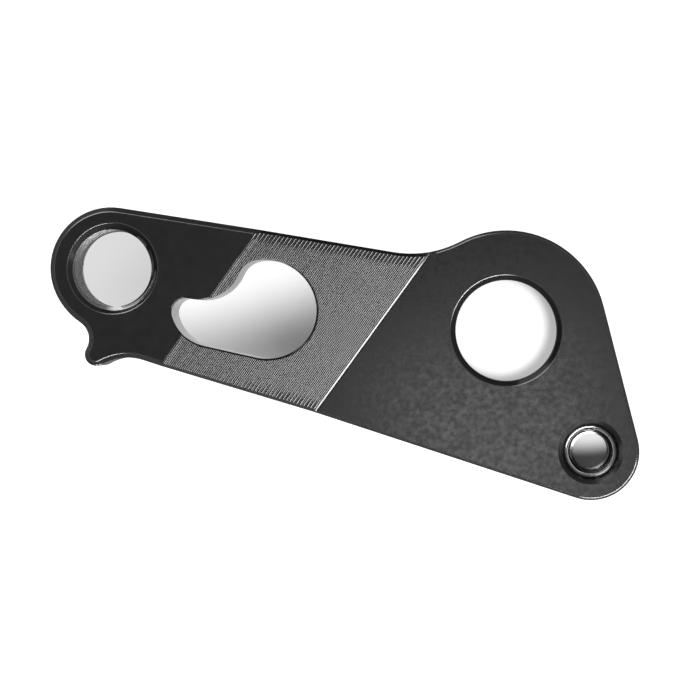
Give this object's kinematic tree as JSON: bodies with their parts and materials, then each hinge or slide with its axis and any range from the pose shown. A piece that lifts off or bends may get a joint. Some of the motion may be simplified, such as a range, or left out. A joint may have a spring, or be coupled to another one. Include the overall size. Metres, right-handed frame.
{
  "type": "bicycle derailleur hanger",
  "caption": "One-piece machined hanger that bolts to a bicycle frame at the rear axle and carries the derailleur on an offset threaded end.",
  "frame": {"origin": "on the axle bore's centre line, at the inboard face of the axle plate", "axes": "+Z outboard along the axle bore, +X from the derailleur bolt to the axle"},
  "size_m": [0.0721, 0.0305, 0.0165],
  "materials": {
    "anodised_aluminium": "satin black anodised over fine milling marks, bare metal in the threads' crests"
  },
  "bodies": {
    "root": {"hanger": "anodised_aluminium"}
  },
  "joints": []
}
